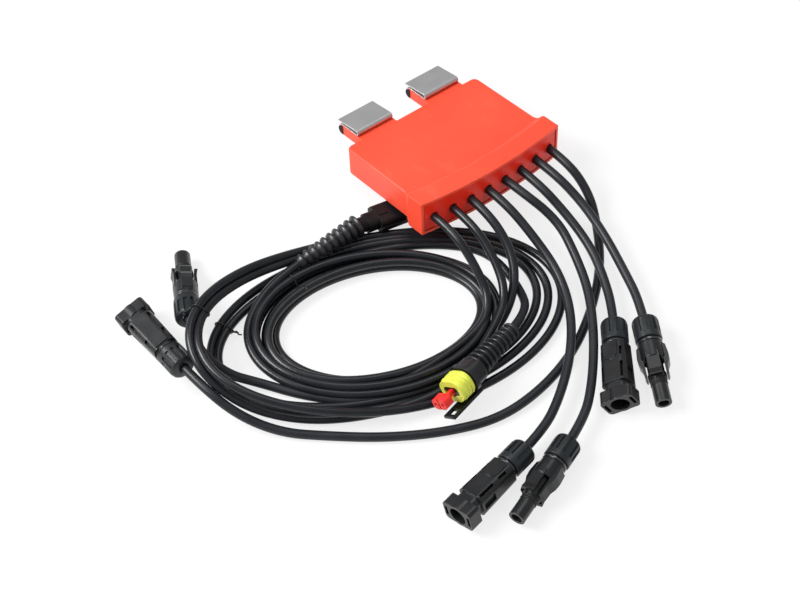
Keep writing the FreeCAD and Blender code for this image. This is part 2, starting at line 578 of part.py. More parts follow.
# Room in the coil for the connectors that lie over or beside it.
coil_outer = coil_outer.cut(place(rod(11.2, -10, 80), BOOT_A_POSE))
coil_outer = coil_outer.cut(place(box(0, 50, -13, 13, -8.0, 40), CAP_POSE))
coil_outer = coil_outer.cut(place(box(-2, 75, -12.5, 12.5, -14, 40), POSES["out_1"]))
coil_outer = coil_outer.cut(place(box(-2, 75, -13.5, 13.5, -14, 40), POSES["out_2"]))
coil_outer = coil_outer.cut(place(rod(10.4, -6, 48), PLUG_POSE)).cut(place(rod(13.2, 44, 61), PLUG_POSE))
coil_outer = coil_outer.cut(place(rod(12.2, 58, 92), PLUG_POSE))
coil_outer = coil_outer.cut(place(box(45, 90, -6.4, 6.4, -15.2, 0), PLUG_POSE))
coil_inner = coil_inner.cut(place(rod(11.2, -4, 80), BOOT_A_POSE)).cut(place(rod(10.4, -6, 50), PLUG_POSE))
save(coil_inner, "coil_inner")
coil_outer = max(coil_outer.Solids, key=lambda solid: solid.Volume)
save(coil_outer, "coil_outer")
save(plug_body, "plug_body")
save(place(plug_seal, PLUG_POSE), "plug_seal")
save(place(plug_lock, PLUG_POSE), "plug_lock")
save(place(plug_terminals, PLUG_POSE), "plug_terminals")
save(boot_b, "boot_b")
save(cap_body, "cap_body")
save(place(cap_pins, CAP_POSE), "cap_pins")
save(place(cap_lock, CAP_POSE), "cap_lock")
save(boot_a, "boot_a")

# Signal cords: the lengths that leave the case and the lengths that come off the coil.
start_a = [lean_point(holes[0], CABLE_END_Y, HOLE_HEIGHT), lean_point(holes[0], CABLE_END_Y - 33, HOLE_HEIGHT),
           up(-57, -92, 26), up(-63, -117, 12.5), up(-88, -131, 9.6)]
start_b = [lean_point(holes[1], CABLE_END_Y, HOLE_HEIGHT), lean_point(holes[1], CABLE_END_Y - 33, HOLE_HEIGHT),
           up(-41, -94, 26), up(-51, -121, 13.5), up(-79, -136, 10.0)]
tail_a = [up(-211, -46, 9.6), up(-199, -17, 9.8), along(BOOT_A_POSE, -20), along(BOOT_A_POSE, BORE_DEPTH_A)]
tail_b = [up(-37, -92, 3.3), up(-35, -119, 4.4), along(PLUG_POSE, -17), along(PLUG_POSE, BORE_DEPTH_B)]
save(tube("start a", start_a, SIGNAL_CABLE), "signal_a_start")
save(tube("start b", start_b, SIGNAL_CABLE), "signal_b_start")
save(tube("tail a", tail_a, SIGNAL_CABLE), "signal_a_tail")
save(tube("tail b", tail_b, SIGNAL_CABLE), "signal_b_tail")
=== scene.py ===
# %% [markdown]
# # A rapid shutdown box with its cable set
# The box is a small potted case of orange plastic that is clipped under a solar panel's frame. Eight cables
# leave its front: six stiff power leads with single pole connectors, and two thinner signal cords that are
# tied up in a coil. The imported CAD model is the fixed frame for everything here, and we load it first. No
# piece that we add may make the object bigger.

# %% Load the frame
import bmesh
import bpy
import math
from mathutils import Matrix, Vector


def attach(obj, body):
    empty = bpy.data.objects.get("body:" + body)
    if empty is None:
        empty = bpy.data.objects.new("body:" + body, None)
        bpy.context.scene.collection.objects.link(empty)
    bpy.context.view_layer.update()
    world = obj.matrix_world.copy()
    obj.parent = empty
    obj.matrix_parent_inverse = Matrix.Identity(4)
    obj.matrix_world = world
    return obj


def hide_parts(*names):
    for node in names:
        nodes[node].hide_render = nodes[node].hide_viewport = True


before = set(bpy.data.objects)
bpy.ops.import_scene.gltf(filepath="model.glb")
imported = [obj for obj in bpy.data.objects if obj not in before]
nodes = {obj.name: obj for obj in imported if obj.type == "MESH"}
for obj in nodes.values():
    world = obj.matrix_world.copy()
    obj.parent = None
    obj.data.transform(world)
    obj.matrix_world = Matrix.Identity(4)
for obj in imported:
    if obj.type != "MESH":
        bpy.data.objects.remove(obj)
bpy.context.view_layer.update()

# %% [markdown]
# ## Sizes shared with the solid model
# A cord lies where its solid lies, so this file repeats the few sizes that place the cords: how the case
# leans on the coil, how far apart the holes are and where each connector points. They are kept in
# millimetres, as a maker would write them, and turned into metres at the last moment.

# %% Shared sizes and the two ways of placing a point
MM = 0.001
FRONT_UP, LEFT_UP = 9.0, 5.0
HALF_WIDTH, HALF_DEPTH, CORNER = 65.0, 45.5, 5.0
HOLE_PITCH, HOLE_HEIGHT, CABLE_END_Y = 16.4, 10.8, -33.0
POWER_CABLE, SIGNAL_CABLE = 6.8, 6.4
POWER_REST, SIGNAL_REST = POWER_CABLE / 2, SIGNAL_CABLE / 2

LEAN = Matrix.Rotation(math.radians(LEFT_UP), 4, "Y") @ Matrix.Rotation(math.radians(-FRONT_UP), 4, "X")


def lean_point(x, y, z):
    """A point of the leaning case, from the case's own x, y and z."""
    return LEAN @ Vector((x, y, z))


corner_centre = lean_point(HALF_WIDTH - CORNER, HALF_DEPTH - CORNER, 0)
FLOOR = corner_centre.z - CORNER * math.hypot(lean_point(1, 0, 0).z, lean_point(0, 1, 0).z)


def up(x, y, height):
    """A point over the floor."""
    return Vector((x, y, FLOOR + height))


def along(pose, x):
    """A point on the axis of a connector, x millimetres from its back."""
    point, heading, pitch, roll = pose
    a, b = math.radians(heading), math.radians(pitch)
    return point + x * Vector((math.cos(a) * math.cos(b), math.sin(a) * math.cos(b), math.sin(b)))


def stand(pose):
    """The matrix, in metres, that puts a piece made along +X where a connector lies."""
    point, heading, pitch, roll = pose
    turn = (Matrix.Rotation(math.radians(heading), 4, "Z") @ Matrix.Rotation(math.radians(-pitch), 4, "Y")
            @ Matrix.Rotation(math.radians(roll), 4, "X"))
    return Matrix.Translation(point * MM) @ turn


print("floor lies", round(FLOOR, 3), "mm from the case's own origin")

# %% [markdown]
# ## The camera
# The photograph looks down on the box from the left and far away, through a long lens, so the sides hardly
# draw together. A camera looks along its own -Z, and `to_track_quat` turns that axis along the line of sight
# and keeps the horizon level.

# %% Camera
camera = bpy.data.objects.new("camera", bpy.data.cameras.new("camera"))
bpy.context.scene.collection.objects.link(camera)
bpy.context.scene.camera = camera
camera.location = (-0.53300, -0.58136, 0.94103)
line_of_sight = Vector((0.36625, 0.44151, -0.81910))
camera.rotation_mode = "QUATERNION"
camera.rotation_quaternion = line_of_sight.to_track_quat("-Z", "Y")
camera.data.sensor_width = 36.0
camera.data.lens = 72.0
camera.data.clip_start, camera.data.clip_end = 0.02, 20.0

# %% [markdown]
# ## Shader maths
# A material is a graph of nodes. Written by hand it soon gets long, so one small class wraps an output
# socket and lets us write `mask * 0.3 + 0.1` or `0.1 + mask`. Each operator adds a Math node. Every other
# node comes from `Finish.node`, which takes its type, its settings and the values of its sockets. The same
# class fills a material and the world, as both hold a node tree.


# %% Socket and Finish
class Socket:
    """An output of a node on which plain Python maths can be written."""

    def __init__(self, finish, output):
        self.finish, self.output = finish, output

    def maths(self, operation, a, b=0.0):
        return self.finish.node("ShaderNodeMath", {"operation": operation}, {0: a, 1: b})

    def __add__(self, other):
        return self.maths("ADD", self, other)

    def __radd__(self, other):
        return self.maths("ADD", other, self)

    def __mul__(self, other):
        return self.maths("MULTIPLY", self, other)

    def __rmul__(self, other):
        return self.maths("MULTIPLY", other, self)


class Finish:
    """One material, or the world, under construction."""

    def __init__(self, block):
        self.block = block
        block.use_nodes = True
        self.tree = block.node_tree
        self.tree.nodes.clear()

    def node(self, kind, settings=None, sockets=None, out=0):
        made = self.tree.nodes.new(kind)
        for key, value in (settings or {}).items():
            setattr(made, key, value)
        for key, value in (sockets or {}).items():
            if isinstance(value, Socket):
                self.tree.links.new(value.output, made.inputs[key])
            else:
                made.inputs[key].default_value = value
        return Socket(self, made.outputs[out])

    def place(self):
        return self.node("ShaderNodeTexCoord", out=3)

    def noise(self, scale, detail=3.0, roughness=0.5, stretch=(1, 1, 1)):
        spot = self.node("ShaderNodeMapping", {"vector_type": "POINT"},
                         {"Vector": self.place(), "Scale": stretch})
        return self.node("ShaderNodeTexNoise", None,
                         {"Vector": spot, "Scale": scale, "Detail": detail, "Roughness": roughness})

    def mix(self, factor, a, b):
        return self.node("ShaderNodeMix", {"data_type": "RGBA"}, {0: factor, 6: a, 7: b}, out=2)

    def ramp(self, value, low, high, a=0.0, b=1.0):
        return self.node("ShaderNodeMapRange", None,
                         {"Value": value, "From Min": low, "From Max": high, "To Min": a, "To Max": b})

    def bump(self, height, strength=0.3, distance=0.0005, edge=0.0):
        """Small relief. With an edge, sharp corners also catch the light as if they were rounded."""
        sockets = {"Height": height, "Strength": strength, "Distance": distance}
        if edge:
            sockets["Normal"] = self.node("ShaderNodeBevel", {"samples": 6}, {"Radius": edge * 0.001})
        return self.node("ShaderNodeBump", None, sockets)

    def rays(self, kind):
        return self.node("ShaderNodeLightPath", out=kind)

    def close(self, shader, output="ShaderNodeOutputMaterial"):
        end = self.tree.nodes.new(output)
        self.tree.links.new(shader.output, end.inputs["Surface"])
        return self.block

    def done(self, sockets):
        return self.close(self.node("ShaderNodeBsdfPrincipled", None, sockets))


def new_finish(name):
    return Finish(bpy.data.materials.new(name))


def colour(red, green, blue):
    """A colour as it is read off a screen, 0 to 255, turned into the linear light that shaders use."""
    def linear(value):
        value /= 255
        return value / 12.92 if value <= 0.04045 else ((value + 0.055) / 1.055) ** 2.4
    return (linear(red), linear(green), linear(blue), 1.0)


# %% [markdown]
# ## Case plastic
# The case is injection moulded in signal orange. Its skin is satin: very fine spark texture, a slight mottle
# where the plastic flowed, and a few soft scuffs. Noise at three sizes gives these: the coarse one moves the
# colour, the middle one the gloss, and the finest one the surface itself.


# %% Case and end plate finish
def orange_plastic(name, base, deep, gloss):
    finish = new_finish(name)
    flow = finish.noise(14, 2)
    scuff = finish.ramp(finish.noise(90, 4, 0.6, (1, 0.35, 1)), 0.56, 0.74)
    grain = finish.noise(2600, 1)
    shade = finish.mix(finish.ramp(flow, 0.35, 0.7), base, deep)
    shade = finish.mix(scuff * 0.05, shade, colour(255, 170, 150))
    return finish.done({
        "Base Color": shade,
        "Roughness": gloss + scuff * 0.06 + finish.ramp(flow, 0.3, 0.7, 0, 0.05),
        "Specular IOR Level": 0.45,
        "Normal": finish.bump(grain, 0.10, 0.00006, 0.9),
    })


case_red = orange_plastic("case_red", colour(246, 80, 54), colour(238, 72, 46), 0.42)
plate_red = orange_plastic("plate_red", colour(235, 40, 10), colour(226, 34, 8), 0.40)

# %% [markdown]
# ## Black plastics and rubbers
# Nearly everything else is black, so the pieces are told apart by their gloss. The connectors are hard glass
# filled plastic, the cables have a smooth cross linked jacket, the boots are rubber with a soft shine and
# the seals are matt.


# %% Black finishes
def black(name, base, gloss, grain_size, grain_depth, bloom=0.0, edge=0.0, shine=0.35):
    finish = new_finish(name)
    mottle = finish.ramp(finish.noise(55, 3), 0.35, 0.7)
    grain = finish.noise(grain_size, 2, 0.6)
    pale = [min(1.0, c * 1.6 + 0.004) for c in base[:3]] + [1.0]
    return finish.done({
        "Base Color": finish.mix(mottle * (0.5 + bloom), base, pale),
        "Roughness": gloss + mottle * 0.07,
        "Specular IOR Level": shine,
        "Normal": finish.bump(grain, 0.25, grain_depth, edge),
    })


connector_black = black("connector_black", colour(21, 22, 24), 0.28, 1800, 0.00006, 0.0, 0.55, 0.5)
nut_black = black("nut_black", colour(27, 31, 34), 0.34, 1500, 0.00008, 0.0, 0.5, 0.45)
# A darker copy of the connector black, painted shade for the plug and lock that lie under the case.
shaded_cap_black = black("shaded_cap_black", colour(14, 15, 17), 0.42, 1800, 0.00005, 0.0, 0.4, 0.2)
ring_gloss = black("ring_gloss", colour(30, 31, 34), 0.10, 900, 0.00001, 0.0, 0.3, 1.0)
boot_rubber = black("boot_rubber", colour(26, 27, 30), 0.33, 1100, 0.00008, 0.3, 0.3, 0.6)
cable_black = black("cable_black", colour(27, 29, 33), 0.36, 700, 0.00005)
cord_black = black("cord_black", colour(20, 22, 26), 0.26, 900, 0.00004, 0.0, 0.0, 0.4)
gland_rubber = black("gland_rubber", colour(20, 20, 22), 0.6, 900, 0.00005)
package_black = black("package_black", colour(30, 30, 32), 0.5, 1500, 0.00005)

# %% [markdown]
# ## Metals and small coloured pieces
# The clips are folded from satin steel sheet, rolled in one direction: a noise stretched along X makes the
# rolling lines. Where the sheet folds round the tab's nose, on faces turned towards +Y, the steel is painted
# dark as the shade of the fold. The seal of the two way plug is soft yellow silicone and its lock is red
# plastic.


# %% Metal and coloured finishes
def metal(name, tint, gloss, stretch=(1, 40, 40), fold_shade=0.0):
    finish = new_finish(name)
    rolled = finish.noise(120, 4, 0.65, stretch)
    dull = finish.ramp(finish.noise(70, 3), 0.4, 0.75)
    skin = finish.mix(dull * 0.35, tint, [c * 0.78 for c in tint[:3]] + [1.0])
    if fold_shade:
        # Painted shade: faces turned towards +Y, round the tabs' noses, go towards dark grey as the shade of
        # the fold.
        normal = finish.node("ShaderNodeTexCoord", out=1)
        facing = finish.node("ShaderNodeSeparateXYZ", None, {0: normal}, out=1)
        skin = finish.mix(finish.ramp(facing, 0.30, 0.65) * fold_shade, skin, colour(34, 35, 38))
    return finish.done({
        "Base Color": skin,
        "Metallic": 1.0,
        "Roughness": gloss + dull * 0.10 + rolled * 0.10,
        "Normal": finish.bump(rolled, 0.12, 0.00004, 0.35),
    })


def coloured(name, base, gloss):
    finish = new_finish(name)
    flow = finish.ramp(finish.noise(160, 3), 0.35, 0.7)
    deep = [c * 0.82 for c in base[:3]] + [1.0]
    return finish.done({
        "Base Color": finish.mix(flow * 0.6, base, deep),
        "Roughness": gloss + flow * 0.08,
        "Normal": finish.bump(finish.noise(1500, 2), 0.15, 0.00005, 0.5),
    })


# The clip steel carries painted shade where it folds round the tabs' noses.
clip_steel = metal("clip_steel", colour(214, 214, 215), 0.38, fold_shade=0.9)
# A dark copy of the clip steel, painted shade for the ends of the clips' folds.
shaded_fold_steel = metal("shaded_fold_steel", colour(44, 45, 48), 0.4)
contact_metal = metal("contact_metal", colour(200, 186, 150), 0.25, (30, 1, 1))
can_aluminium = metal("can_aluminium", colour(190, 192, 196), 0.3)
winding_brass = metal("winding_brass", colour(196, 150, 84), 0.35)
seal_yellow = coloured("seal_yellow", colour(222, 228, 86), 0.38)
lock_red = coloured("lock_red", colour(234, 42, 36), 0.34)
potting_grey = coloured("potting_grey", colour(74, 76, 80), 0.55)
board_green = coloured("board_green", colour(28, 92, 52), 0.45)

# %% [markdown]
# ## Finishes on the CAD pieces
# Every solid keeps its shape and gets the finish of a slot of the record. The mating plug under the case and
# its lock get a darker black than the other connectors. This is painted shade, because they lie under the
# case, and it also keeps the orange case's bounce light off them.

# %% Hand out the finishes
SLOTS = {
    "case_red": (case_red, ["case_shell"]),
    "plate_red": (plate_red, ["end_plate"]),
    "potting_grey": (potting_grey, ["potting"]),
    "board_green": (board_green, ["circuit_board"]),
    "package_black": (package_black, ["switch_transistors", "bypass_diodes"]),
    "can_aluminium": (can_aluminium, ["capacitors"]),
    "winding_brass": (winding_brass, ["coupling_coil"]),
    "clip_steel": (clip_steel, ["frame_clip_left", "frame_clip_right"]),
    "contact_metal": (contact_metal, ["plug_terminals", "cap_pins"]),
    "connector_black": (connector_black, ["plug_body", "cap_body", "cap_lock"]),
    "boot_rubber": (boot_rubber, ["boot_a", "boot_b"]),
    "seal_yellow": (seal_yellow, ["plug_seal"]),
    "lock_red": (lock_red, ["plug_lock"]),
    "gland_rubber": (gland_rubber, []),
}
IN_CASE_SHADE = ("cap_body", "cap_lock")
LEADS = ("out_1", "out_2", "in_1", "in_2", "in_3", "in_4")
for lead in LEADS:
    SLOTS["connector_black"][1].extend([lead + "_body", lead + "_nut"])
    SLOTS["contact_metal"][1].append(lead + "_contact")
    SLOTS["gland_rubber"][1].append(lead + "_gland")
for slot, (finish, names) in SLOTS.items():
    for name in names:
        mesh = nodes[name].data
        mesh.materials.clear()
        mesh.materials.append(shaded_cap_black if name in IN_CASE_SHADE else finish)
print("finishes on", sum(len(names) for finish, names in SLOTS.values()), "CAD pieces")

# %% [markdown]
# ## The power leads
# A cord is one smooth spline, and its thickness comes from the curve's own bevel. Its points are the ones
# that the solid model sweeps its tube along: out of the hole, over or under its neighbours, and into the nut
# of its connector. The order of the spline is set after the points are added, or it stays a chain of
# straight runs.

# %% Where the connectors lie, and the way of each lead
POSES = {
    "out_1": (up(-243.3, 0.5, 22.2), 60.0, -12.8, 12.0),
    "out_2": (up(-267.5, -30.8, 21.3), 89.0, -8.8, -12.0),
    "in_1": (up(-121.0, -221.0, 10.3), -172.0, 0.6, 18.0),
    "in_2": (up(-94.5, -235.6, 10.7), -163.1, 0.0, -62.0),
    "in_3": (up(-4.5, -182.8, 10.3), -130.5, 1.9, 36.0),
    "in_4": (up(13.2, -195.0, 10.7), -123.5, 0.0, -75.0),
}
ROUTES = {
    "out_1": [(-24, -95, 20), (-38, -116, 10), (-63, -131, 3.6), (-95, -137, POWER_REST),
              (-130, -138, POWER_REST), (-163, -130, POWER_REST), (-192, -112, POWER_REST),
              (-213, -87, POWER_REST), (-229, -62, 4.5), (-246, -44, 12)],
    "out_2": [(60, -90, 13), (47, -114, 3.6), (25, -140, POWER_REST), (-5, -163, POWER_REST),
              (-41, -182, POWER_REST), (-80, -191, POWER_REST), (-120, -190, POWER_REST),
              (-158, -172.5, POWER_REST), (-191, -150, POWER_REST), (-219, -125, POWER_REST),
              (-242, -103, 4), (-259, -77, 12)],
    "in_1": [(-4, -98, 20), (-8, -130, 12.2), (-24, -160, 11), (-49, -186, 11), (-78, -206, 10.6)],
    "in_2": [(20, -97, 20), (12, -126, 12.6), (-2, -155, 11.4), (-25, -184.5, 10.8), (-54, -213, 10.6)],
    "in_3": [(29.5, -98, 18.5), (26, -127, 12.5), (16, -150.5, 11.2)],
    "in_4": [(46, -95, 19.5), (41, -127, 13), (31, -156, 11.4)],
}
HOLE_OF = {"out_1": 2, "in_1": 3, "in_2": 4, "in_3": 5, "in_4": 6, "out_2": 7}
BEHIND = {"out_1": 20.0, "out_2": 17.0, "in_1": 16.0, "in_2": 16.0, "in_3": 11.0, "in_4": 13.0}


def in_hole(number, y):
    """The middle of a hole, counted from the left, at a depth y of the leaning case."""
    return lean_point((number - 3.5) * HOLE_PITCH, y, HOLE_HEIGHT)


def hole_way(number):
    """The two points of a cord inside the case and straight out of its hole."""
    return [in_hole(number, CABLE_END_Y), in_hole(number, CABLE_END_Y - 33)]


def ridden(piece, body="device"):
    """Put a piece in the scene, on its body."""
    bpy.context.scene.collection.objects.link(piece)
    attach(piece, body)
    return piece


def cord_curve(name, points, diameter, finish):
    """A round cord as a NURBS curve through points given in millimetres."""
    curve = bpy.data.curves.new(name, "CURVE")
    curve.dimensions = "3D"
    spline = curve.splines.new("NURBS")
    spline.points.add(len(points) - 1)
    for target, point in zip(spline.points, points):
        target.co = (point[0] * MM, point[1] * MM, point[2] * MM, 1.0)
    spline.order_u = 3
    spline.use_endpoint_u = True
    spline.resolution_u = 8
    curve.bevel_depth = diameter / 2 * MM
    curve.bevel_resolution = 5
    curve.use_fill_caps = True
    curve.materials.append(finish)
    return bpy.data.objects.new(name, curve)


for lead in LEADS:
    pose = POSES[lead]
    way = hole_way(HOLE_OF[lead]) + [up(*p) for p in ROUTES[lead]]
    way += [along(pose, -BEHIND[lead]), along(pose, 14)]
    piece = ridden(cord_curve(lead + "_lead", way, POWER_CABLE, cable_black))
    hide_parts(lead + "_cable")

# %% [markdown]
# ## The two coiled cords
# The signal cords leave the first two holes and are wound clockwise, seen from above. One fills the inner
# ring, the other the outer ring, where it climbs over the connectors at the left. A loop makes the turns:
# each turn has a reach to the left, back, right and front, and between those the reach changes smoothly, so
# that the turns lie beside each other and fan out as loose turns do.


# %% Turns of a coil
POINTS_PER_TURN = 16


def coil(reach, heights, first, last, slant):
    """Points of loose turns. Reach holds the left, back, right and front limits of turn after turn."""
    def reached(side, at, offset):
        values = reach[side]
        spot = min(max(at - offset, 0.0), len(values) - 1.0)
        i = min(int(spot), len(values) - 2)
        return values[i] + (values[i + 1] - values[i]) * (spot - i)

    points = []
    count = round((last - first) * POINTS_PER_TURN)
    for k in range(count + 1):
        at = first + (last - first) * k / count
        left, back = reached("left", at, 0.25), reached("back", at, 0.5)
        right, front = reached("right", at, 0.75), reached("front", at, 0.0)
        angle = math.radians(slant - 90 - 360 * at)
        x = (left + right) / 2 + (right - left) / 2 * math.cos(angle)
        y = (back + front) / 2 + (back - front) / 2 * math.sin(angle - math.radians(slant))
        for spot, value in heights:
            if spot > at:
                height = low_value + (value - low_value) * (at - before) / (spot - before)
                break
            before, low_value = spot, value
            height = low_value
        points.append(up(x, y, height))
    return points


PLUG_POSE = (up(-66.5, -145.2, 14.5), -168.5, 3.5, 38.0)
BOOT_A_POSE = (up(-149.0, -1.6, 12.0), -1.4, 1.8, 0.0)

inner_way = hole_way(0) + [up(-57, -92, 26), up(-63, -117, 12.5), up(-88, -131, 9.6)]
inner_way += coil(
    {"left": [-217.5, -211, -204, -210.5, -216, -222], "back": [-7, -13.5, -20, -20, -7, -4],
     "right": [-47.5, -54, -60, -59, -53], "front": [-145.5, -137, -130.5, -129, -137, -143.5]},
    [(0.0, 9.6), (0.1, 7), (0.3, SIGNAL_REST), (2.75, SIGNAL_REST), (3.1, 9.6), (4.85, 9.6), (5.15, 6.8),
     (5.42, 8)],
    0.12, 5.42, 20)
inner_way += [along(BOOT_A_POSE, -20), along(BOOT_A_POSE, 14)]

outer_way = hole_way(1) + [up(-41, -94, 26), up(-51, -121, 13.5), up(-79, -136, 10.0)]
outer_way += coil(
    {"left": [-263.5, -259, -251.5, -247], "back": [13.5, 9, 6, -2], "right": [-0.5, -9.5, -15.5, -26.5],
     "front": [-160, -167, -157.5, -150.5, -130]},
    [(0.0, 10), (0.06, 9), (0.12, 5), (0.17, 4), (0.21, 6), (0.25, 13), (0.29, 24), (0.33, 31.4),
     (0.37, 34.5), (0.41, 35), (0.45, 31), (0.49, 24), (0.53, 15), (0.57, 7), (0.62, SIGNAL_REST),
     (1.04, SIGNAL_REST), (1.10, 7), (1.15, 15), (1.20, 22), (1.24, 26), (1.28, 29), (1.32, 31.5),
     (1.36, 33.5), (1.40, 33), (1.44, 28.5), (1.48, 21), (1.52, 13), (1.56, 7), (1.62, SIGNAL_REST),
     (4, SIGNAL_REST)], 0.06, 3.78, 23)
outer_way += [up(-35, -119, 4.4), along(PLUG_POSE, -17), along(PLUG_POSE, 11.5)]


def way_length(points):
    """Length of the spline over these points: a spline of order 3 is a chain of parabolas."""
    joints = [points[0]] + [(a + b) / 2 for a, b in zip(points[1:-2], points[2:-1])] + [points[-1]]
    total = 0.0
    for a, c, b in zip(joints, points[1:-1], joints[1:]):
        last = a
        for k in range(1, 9):
            t = k / 8
            spot = a * (1 - t) ** 2 + c * (2 * t * (1 - t)) + b * t ** 2
            total += (spot - last).length
            last = spot
    return total


for name, way in (("inner", inner_way), ("outer", outer_way)):
    print(name, "cord", round(way_length(way)), "mm over", len(way), "points")

inner_cord = ridden(cord_curve("inner_cord", inner_way, SIGNAL_CABLE, cord_black))
outer_cord = ridden(cord_curve("outer_cord", outer_way, SIGNAL_CABLE, cord_black))
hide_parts("coil_inner", "signal_a_start", "signal_a_tail")
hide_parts("coil_outer", "signal_b_start", "signal_b_tail")

# %% [markdown]
# ## Turned pieces
# Boots, rings and nuts are built about the connector's own X axis as rows of points: each row is a ring, and
# a row of one point closes the end. Edges that bend by more than 40 degrees are marked sharp, and the rest
# shade smooth.


# %% A skin over rings of points
def closed(work, name, finish):
    """The object of a closed skin, with its faces turned outwards."""
    bmesh.ops.recalc_face_normals(work, faces=work.faces)
    mesh = bpy.data.meshes.new(name)
    work.to_mesh(mesh)
    work.free()
    mesh.materials.append(finish)
    return bpy.data.objects.new(name, mesh)


def skinned(name, rows, pose, finish, body="device"):
    """Join rows of points, given in millimetres about the X axis of a pose, into one closed piece."""
    work = bmesh.new()
    rings = [[work.verts.new([c * MM for c in point]) for point in row] for row in rows]
    pairs = list(zip(rings, rings[1:]))
    if len(rings[0]) > 1:
        pairs.append((rings[-1], rings[0]))
    for a, b in pairs:
        around = max(len(a), len(b))
        for k in range(around):
            loop = [a[k % len(a)], b[k % len(b)], b[(k + 1) % len(b)], a[(k + 1) % len(a)]]
            loop = [v for i, v in enumerate(loop) if v not in loop[:i]]
            if len(loop) > 2:
                work.faces.new(loop)
    bmesh.ops.recalc_face_normals(work, faces=work.faces)
    for face in work.faces:
        face.smooth = True
    for edge in work.edges:
        edge.smooth = not (len(edge.link_faces) == 2 and edge.calc_face_angle() > math.radians(40))
    piece = closed(work, name, finish)
    piece.data.transform(stand(pose))
    return ridden(piece, body)


def turned(name, profile, pose, finish, around=56):
    """Spin (x, radius) pairs about the axis."""
    turns = [2 * math.pi * k / around for k in range(around)]
    rows = [[(x, radius * math.cos(t), radius * math.sin(t)) for t in turns] if radius else [(x, 0, 0)]
            for x, radius in profile]
    return skinned(name, rows, pose, finish)


# %% [markdown]
# ## Ribbed nuts
# A union nut is gripped by twelve ribs with flat grooves between them. Each rib's period has columns of
# points at the groove's foot and at its rim, so the walls stand steep, and only the rows inside the groove
# drop.

# %% Nuts
NUT_RADIUS, GROOVE_DEPTH, RIBS = 9.7, 1.3, 12
NUT_ROWS = [(3.2, 7.4, 0), (3.7, 8.4, 0), (4.7, 9.2, 0), (5.0, 9.3, 1), (6.6, NUT_RADIUS, 1),
            (16.9, NUT_RADIUS, 1), (17.2, NUT_RADIUS, 0), (21.3, NUT_RADIUS, 0), (21.8, 9.2, 0),
            (21.8, 7.66, 0), (5.8, 7.66, 0), (5.8, 3.75, 0), (3.2, 3.75, 0)]
SHOULDER = [(22.65, 8.3), (22.65, 8.7), (23.0, 9.05), (24.5, 9.05), (24.75, 8.8), (24.75, 8.3)]
COLUMNS = [(-15.0, 0), (-8.6, 0), (-7.4, 1), (0.0, 1), (7.4, 1), (8.6, 0)]


def ribbed_nut(lead):
    rows = []
    for x, radius, grooved_row in NUT_ROWS:
        row = []
        for rib in range(RIBS):
            for offset, grooved_column in COLUMNS:
                t = math.radians((rib + 0.5) * 360 / RIBS + offset)
                reach = min(radius, NUT_RADIUS - GROOVE_DEPTH) if grooved_row and grooved_column else radius
                row.append((x, reach * math.cos(t), reach * math.sin(t)))
        rows.append(row)
    nut = skinned(lead + "_ribbed_nut", rows, POSES[lead], nut_black, lead + "_nut_body")
    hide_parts(lead + "_nut")


for lead in LEADS:
    ribbed_nut(lead)
    turned(lead + "_shoulder", SHOULDER, POSES[lead], ring_gloss)
print(len(LEADS), "nuts with", RIBS, "ribs, each with a polished shoulder ring")

# %% [markdown]
# ## Ribbed boots
# Each rubber boot is a row of small bells. A bell widens towards the connector, rolls over a round lip and
# falls back to a narrow neck, which is what lets the boot bend. The solid model keeps a simpler rib, and
# these pieces take its place in the picture.


# %% Boots
def bells(length, small, large, bore, depth, recess, recess_radius, rings=10):
    step = length / rings
    profile = [(depth, 0), (depth, bore), (0, bore)]
    for i in range(rings):
        radius = small + (large - small) * (i + 1) / rings
        neck = radius * 0.64
        for part, size in ((0.0, neck), (0.10, neck), (0.20, neck + 0.25 * (radius - neck)),
                           (0.42, neck + 0.72 * (radius - neck)), (0.60, radius * 0.985), (0.70, radius),
                           (0.79, radius * 0.985), (0.86, radius * 0.93), (0.90, radius * 0.84)):
            profile.append(((i + part) * step, size))
    profile += [(length, large * 0.70), (length, recess_radius), (length - recess, recess_radius),
                (length - recess, 0)]
    return profile


boot_near = turned("boot_near_case", bells(56, 5.6, 8.8, 3.3, 14.0, 5.0, 6.15), BOOT_A_POSE, boot_rubber)
boot_far = turned("boot_by_plug", bells(46, 6.2, 9.6, 3.3, 11.5, 8.0, 6.1), PLUG_POSE, boot_rubber)
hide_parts("boot_a")
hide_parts("boot_b")
print("two boots of ten bells")

# %% [markdown]
# ## Seal rings on the male connectors
# Each male tube carries a soft ring in its groove, with two low lips that press on the socket's wall.

# %% Seal rings
TWO_LIPS = [(55.1, 5.32), (55.1, 5.9), (55.5, 6.2), (56.0, 6.25), (56.5, 5.95), (57.0, 5.9), (57.5, 5.95),
            (58.0, 6.25), (58.5, 6.2), (58.9, 5.9), (58.9, 5.32)]
for lead in ("out_1", "in_2", "in_4"):
    turned(lead + "_seal_ring", TWO_LIPS, POSES[lead], gland_rubber, 40)
print("three seal rings")

# %% [markdown]
# ## The painted shadow line of the end plate
# The plate sits in the case with a thin shadow line round it. The line is painted shade: a flat dark bead in
# the gland rubber finish, laid where plate and rim meet, and it follows the bow of the front: a circle
# through both corners and the middle.

# %% Painted shadow line
BOW, RIM, FLANGE_HALF = 6.0, 2.2, 68.0
ALONG, UPWARDS = 24, 4
bow_radius = (FLANGE_HALF ** 2 + BOW ** 2) / (2 * BOW)
bow_centre = -HALF_DEPTH - BOW + bow_radius


